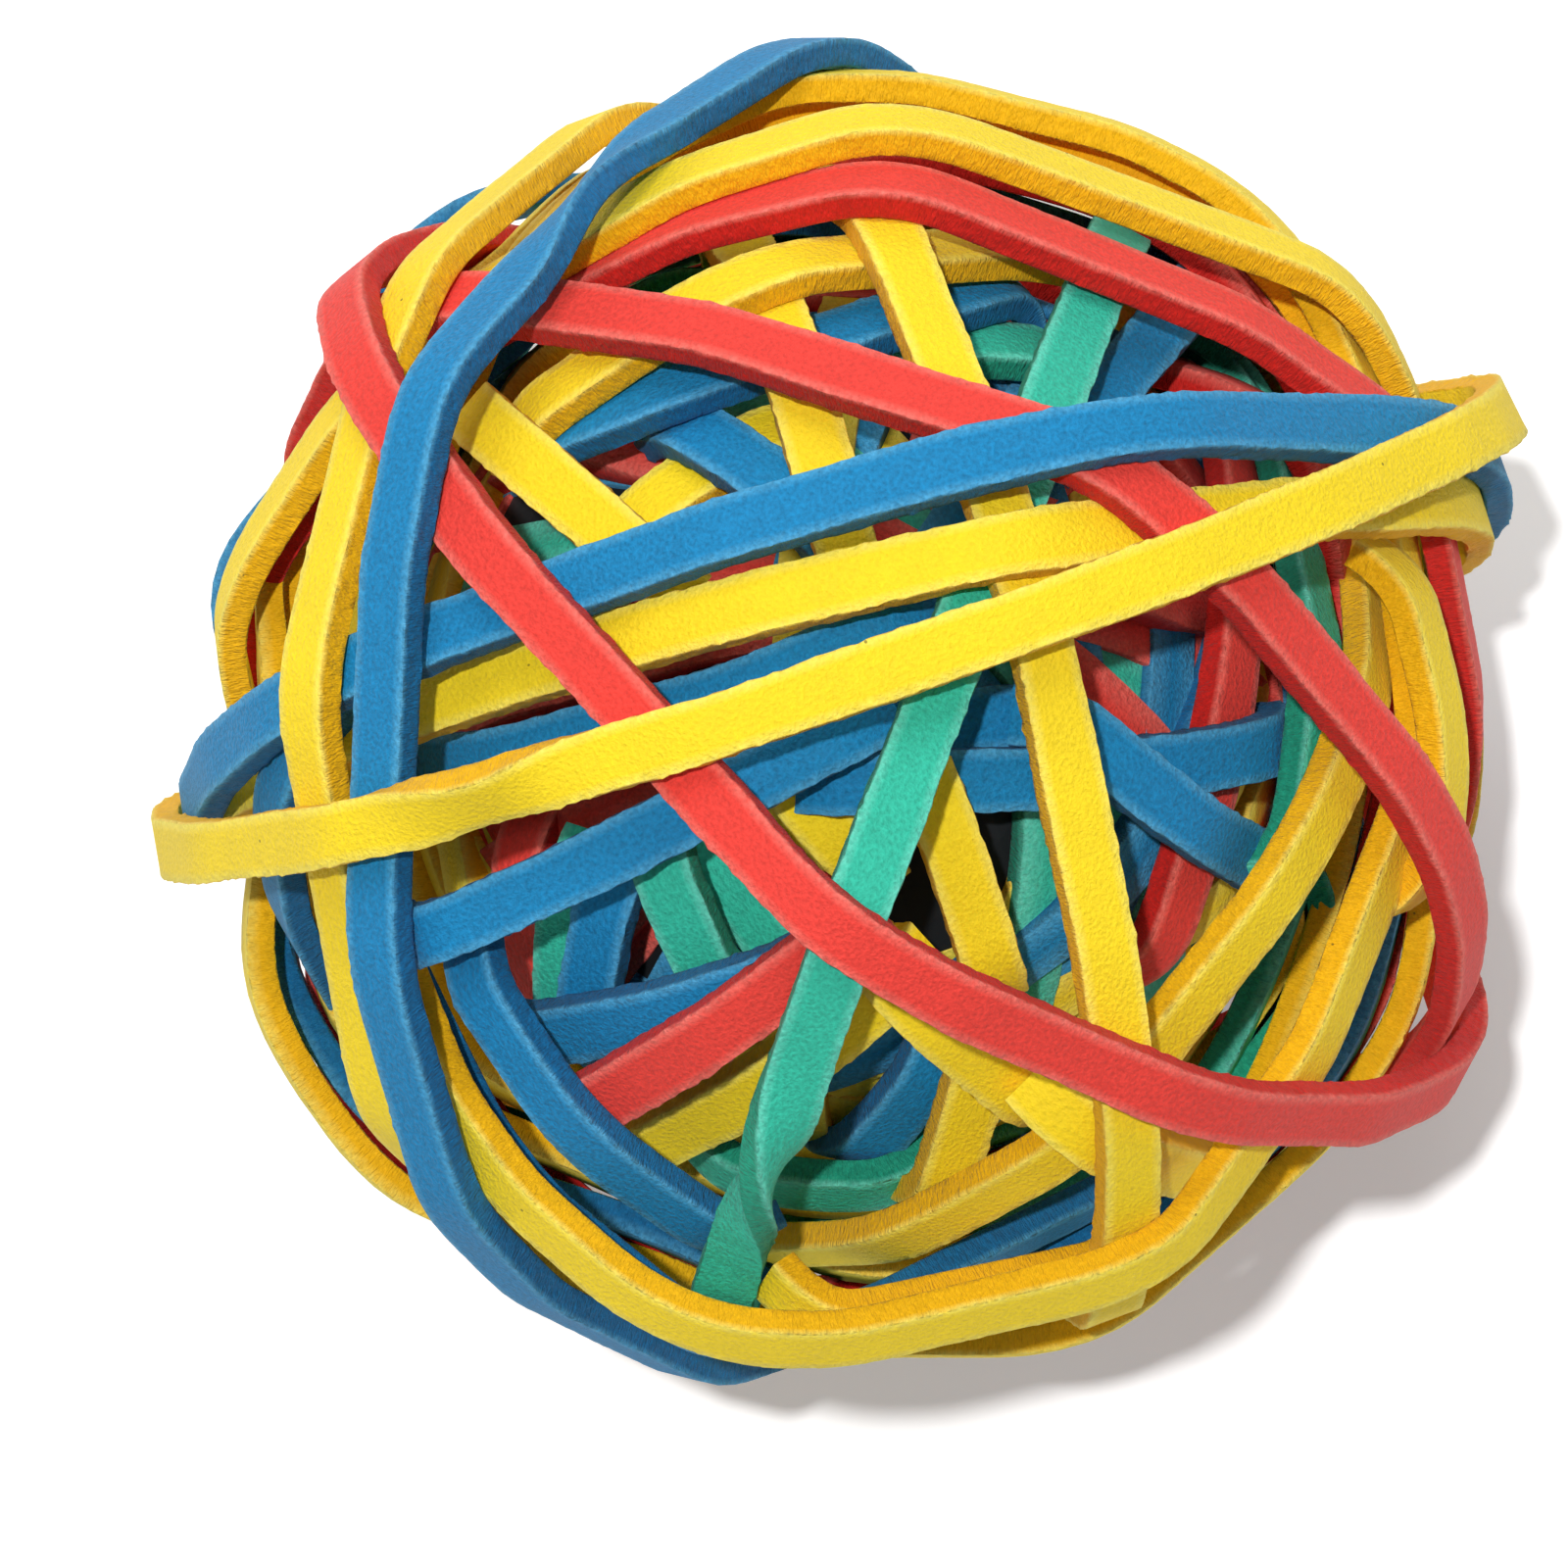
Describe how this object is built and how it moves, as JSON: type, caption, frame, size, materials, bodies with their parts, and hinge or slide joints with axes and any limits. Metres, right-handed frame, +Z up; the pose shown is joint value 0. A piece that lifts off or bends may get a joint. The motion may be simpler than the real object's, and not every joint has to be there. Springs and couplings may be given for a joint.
{
  "type": "rubber band ball",
  "caption": "Ball wound from flat coloured rubber bands over a round core of inner bands, as a desk supply of bands and a soft throwing ball.",
  "frame": {"origin": "on the ground plane, under the middle of the ball's box", "axes": "+Z up, out of the side of the ball that the picture shows; +Y towards the top of the picture and +X towards its right"},
  "size_m": [0.0672, 0.0662, 0.0661],
  "materials": {
    "red_rubber": "matte, fine grain, rough cut edges",
    "yellow_rubber": "matte, fine grain, rough cut edges",
    "blue_rubber": "matte, fine grain, rough cut edges",
    "green_rubber": "matte, fine grain, rough cut edges",
    "inner_rubber": "matte, in deep shade"
  },
  "bodies": {
    "root": {"band_blue_01": "blue_rubber", "band_blue_02": "blue_rubber", "band_blue_03": "blue_rubber", "band_blue_04": "blue_rubber", "band_blue_05": "blue_rubber", "band_blue_06": "blue_rubber", "band_blue_07": "blue_rubber", "band_blue_08": "blue_rubber", "band_blue_09": "blue_rubber", "band_blue_10": "blue_rubber", "band_blue_11": "blue_rubber", "band_blue_12": "blue_rubber", "band_blue_13": "blue_rubber", "band_blue_14": "blue_rubber", "band_blue_15": "blue_rubber", "band_blue_16": "blue_rubber", "band_blue_17": "blue_rubber", "band_blue_18": "blue_rubber", "band_green_01": "green_rubber", "band_green_02": "green_rubber", "band_green_03": "green_rubber", "band_green_04": "green_rubber", "band_green_05": "green_rubber", "band_green_06": "green_rubber", "band_green_07": "green_rubber", "band_green_08": "green_rubber", "band_green_09": "green_rubber", "band_green_10": "green_rubber", "band_red_01": "red_rubber", "band_red_02": "red_rubber", "band_red_03": "red_rubber", "band_red_04": "red_rubber", "band_red_05": "red_rubber", "band_red_06": "red_rubber", "band_red_07": "red_rubber", "band_red_08": "red_rubber", "band_yellow_01": "yellow_rubber", "band_yellow_02": "yellow_rubber", "band_yellow_03": "yellow_rubber", "band_yellow_04": "yellow_rubber", "band_yellow_05": "yellow_rubber", "band_yellow_06": "yellow_rubber", "band_yellow_07": "yellow_rubber", "band_yellow_08": "yellow_rubber", "band_yellow_09": "yellow_rubber", "band_yellow_10": "yellow_rubber", "band_yellow_11": "yellow_rubber", "band_yellow_12": "yellow_rubber", "band_yellow_13": "yellow_rubber", "band_yellow_14": "yellow_rubber", "band_yellow_15": "yellow_rubber", "band_yellow_16": "yellow_rubber", "band_yellow_17": "yellow_rubber", "band_yellow_18": "yellow_rubber", "band_yellow_19": "yellow_rubber", "band_yellow_20": "yellow_rubber", "band_yellow_21": "yellow_rubber", "band_yellow_22": "yellow_rubber", "wound_core": "inner_rubber"}
  },
  "joints": []
}
